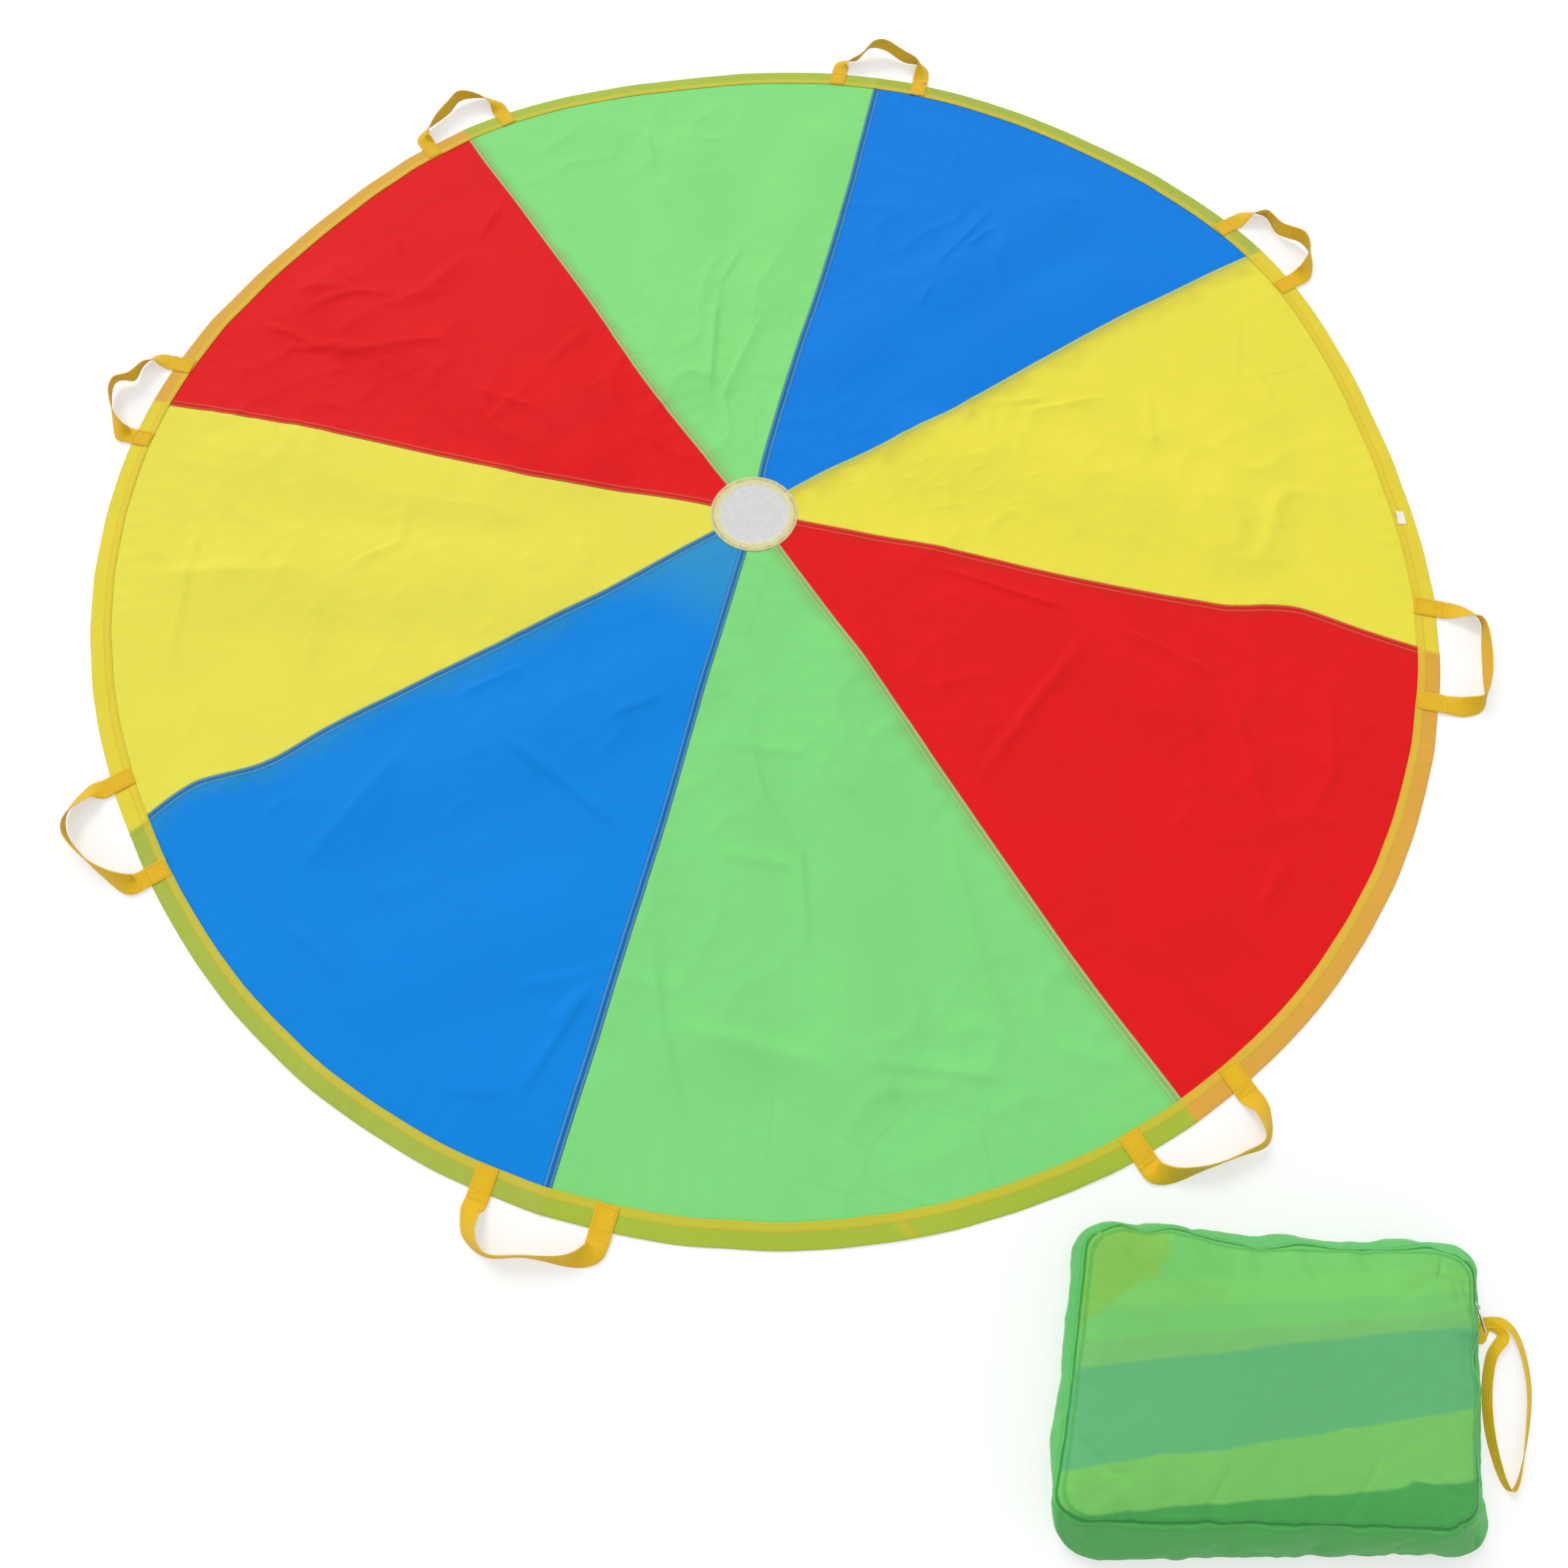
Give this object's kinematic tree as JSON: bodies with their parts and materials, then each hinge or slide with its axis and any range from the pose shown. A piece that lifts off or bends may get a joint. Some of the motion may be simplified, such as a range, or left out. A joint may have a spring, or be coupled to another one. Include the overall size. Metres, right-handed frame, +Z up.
{
  "type": "play parachute",
  "caption": "Round rainbow play parachute spread flat, with webbing handles round the rim, a netted vent and its filled zip bag alongside.",
  "frame": {"origin": "middle of the vent, on the floor under the net", "axes": "+Z up from the floor; +Y from the vent towards the seam between the first blue gore and the last green gore; +X towards the seam between the first yellow and red gores"},
  "size_m": [1.9488, 1.9964, 0.0711],
  "materials": {
    "blue_cloth": "thin plain-weave polyester, slight sheen",
    "yellow_cloth": "thin plain-weave polyester, slight sheen",
    "red_cloth": "thin plain-weave polyester, slight sheen",
    "green_cloth": "thin plain-weave polyester, slight sheen",
    "yellow_binding": "thin translucent binding tape, stitched",
    "net": "white knitted mesh",
    "vent_tape": "pale stitched tape",
    "webbing": "soft woven webbing, matt",
    "tag": "plain satin tag, blank",
    "bag_cloth": "thin translucent polyester, slight sheen",
    "packed_cloth": "folded polyester in several colours",
    "zip": "zip tape and nylon coil",
    "zip_metal": "plated metal"
  },
  "bodies": {
    "canopy": {"gore_1_blue": "blue_cloth", "gore_2_yellow": "yellow_cloth", "gore_3_red": "red_cloth", "gore_4_green": "green_cloth", "gore_5_blue": "blue_cloth", "gore_6_yellow": "yellow_cloth", "gore_7_red": "red_cloth", "gore_8_green": "green_cloth", "rim_tape_1": "yellow_binding", "rim_tape_2": "yellow_binding", "rim_tape_3": "yellow_binding", "rim_tape_4": "yellow_binding", "rim_tape_5": "yellow_binding", "rim_tape_6": "yellow_binding", "rim_tape_7": "yellow_binding", "rim_tape_8": "yellow_binding", "vent_net": "net", "vent_tape": "vent_tape", "handle_1_tab_left": "webbing", "handle_1_tab_right": "webbing", "handle_2_tab_left": "webbing", "handle_2_tab_right": "webbing", "handle_3_tab_left": "webbing", "handle_3_tab_right": "webbing", "handle_4_tab_left": "webbing", "handle_4_tab_right": "webbing", "handle_5_tab_left": "webbing", "handle_5_tab_right": "webbing", "handle_6_tab_left": "webbing", "handle_6_tab_right": "webbing", "handle_7_tab_left": "webbing", "handle_7_tab_right": "webbing", "handle_8_tab_left": "webbing", "handle_8_tab_right": "webbing", "rim_tag": "tag"},
    "handle_1_body": {"handle_1": "webbing"},
    "handle_2_body": {"handle_2": "webbing"},
    "handle_3_body": {"handle_3": "webbing"},
    "handle_4_body": {"handle_4": "webbing"},
    "handle_5_body": {"handle_5": "webbing"},
    "handle_6_body": {"handle_6": "webbing"},
    "handle_7_body": {"handle_7": "webbing"},
    "handle_8_body": {"handle_8": "webbing"},
    "bag": {"bag_base_panel": "bag_cloth", "bag_side_wall": "bag_cloth", "bag_top_panel": "bag_cloth", "packed_canopy": "packed_cloth", "zip_tape_upper": "zip", "zip_tape_lower": "zip", "zip_chain": "zip", "bag_strap_tab": "webbing"},
    "zip_slider_body": {"zip_slider": "zip_metal"},
    "zip_puller_body": {"zip_puller": "zip_metal"},
    "bag_strap_body": {"bag_strap": "webbing"}
  },
  "joints": [
    {"name": "handle_1_fold", "type": "hinge", "parent": "canopy", "child": "handle_1_body", "pos_m": [-0.00588, 0.88832, 0.0048], "axis": [0.9997, 0.0241, 0], "range_deg": [0, 130]},
    {"name": "handle_2_fold", "type": "hinge", "parent": "canopy", "child": "handle_2_body", "pos_m": [0.63717, 0.63721, 0.0048], "axis": [0.7003, -0.7138, 0], "range_deg": [0, 130]},
    {"name": "handle_3_fold", "type": "hinge", "parent": "canopy", "child": "handle_3_body", "pos_m": [0.89607, -0.00209, 0.0048], "axis": [0.0338, -0.9994, 0], "range_deg": [0, 130]},
    {"name": "handle_4_fold", "type": "hinge", "parent": "canopy", "child": "handle_4_body", "pos_m": [0.64701, -0.63559, 0.0048], "axis": [-0.7045, -0.7097, 0], "range_deg": [0, 130]},
    {"name": "handle_5_fold", "type": "hinge", "parent": "canopy", "child": "handle_5_body", "pos_m": [-0.00693, -0.89615, 0.0048], "axis": [-0.9997, 0.0247, 0], "range_deg": [0, 130]},
    {"name": "handle_6_fold", "type": "hinge", "parent": "canopy", "child": "handle_6_body", "pos_m": [-0.62944, -0.62382, 0.0048], "axis": [-0.7126, 0.7016, 0], "range_deg": [0, 130]},
    {"name": "handle_7_fold", "type": "hinge", "parent": "canopy", "child": "handle_7_body", "pos_m": [-0.9019, -0.01607, 0.0048], "axis": [-0.0033, 1, 0], "range_deg": [0, 130]},
    {"name": "handle_8_fold", "type": "hinge", "parent": "canopy", "child": "handle_8_body", "pos_m": [-0.64957, 0.61583, 0.0048], "axis": [0.6859, 0.7277, 0], "range_deg": [0, 130]},
    {"name": "bag_lift", "type": "slide", "parent": "canopy", "child": "bag", "axis": [0, 0, 1], "range_m": [0, 0.3]},
    {"name": "zip_run", "type": "slide", "parent": "bag", "child": "zip_slider_body", "axis": [0, -1, 0], "range_m": [0, 0.127]},
    {"name": "puller_swing", "type": "hinge", "parent": "zip_slider_body", "child": "zip_puller_body", "pos_m": [0.91507, -0.74055, 0.03524], "axis": [-0.4262, 0, 0.9046], "range_deg": [0, 150]},
    {"name": "strap_fold", "type": "hinge", "parent": "bag", "child": "bag_strap_body", "pos_m": [0.9321, -0.75905, 0.0024], "axis": [0, -1, 0], "range_deg": [0, 80]}
  ]
}
